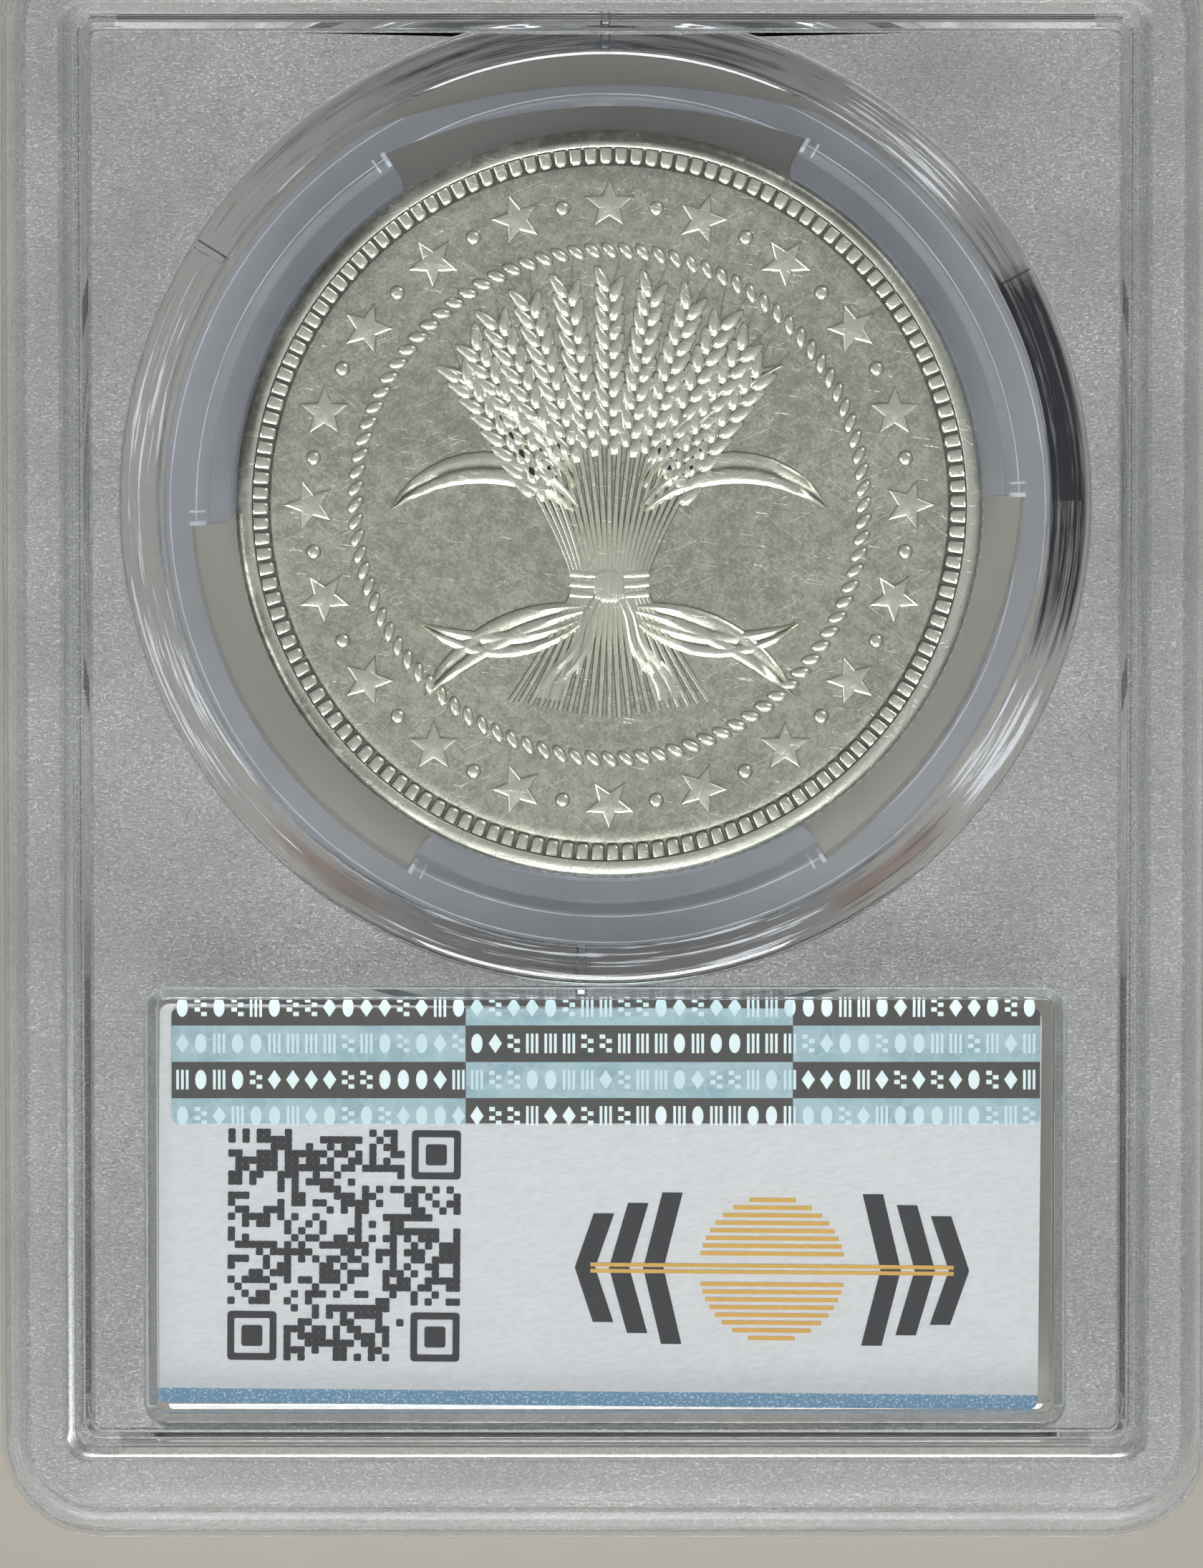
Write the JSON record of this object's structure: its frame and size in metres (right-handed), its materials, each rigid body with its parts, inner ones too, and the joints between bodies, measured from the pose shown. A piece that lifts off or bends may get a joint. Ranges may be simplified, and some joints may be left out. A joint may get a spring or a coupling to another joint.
{
  "type": "graded coin slab",
  "caption": "Flat welded clear plastic case with a large silver coin gripped by a pronged ring in a round well, over a windowed paper label with a foil strip.",
  "frame": {"origin": "middle of the resting plane, at the tips of the front shell's stacking ridge", "axes": "+X across the slab, +Y along it towards the coin end, +Z through its thickness towards the back of the slab, which faces up"},
  "size_m": [0.062, 0.0832, 0.008],
  "materials": {
    "shell_plastic": "clear styrene, polished at the windows and stippled elsewhere",
    "gasket_plastic": "clear soft plastic with a cool grey cast",
    "coin_silver": "struck silver, lightly toned at the rim",
    "label_paper": "smooth matt card",
    "foil": "thin metallised film"
  },
  "bodies": {
    "root": {"front_shell": "shell_plastic", "rear_shell": "shell_plastic", "coin_gasket": "gasket_plastic", "coin": "coin_silver", "label_card": "label_paper", "security_strip": "foil"}
  },
  "joints": []
}
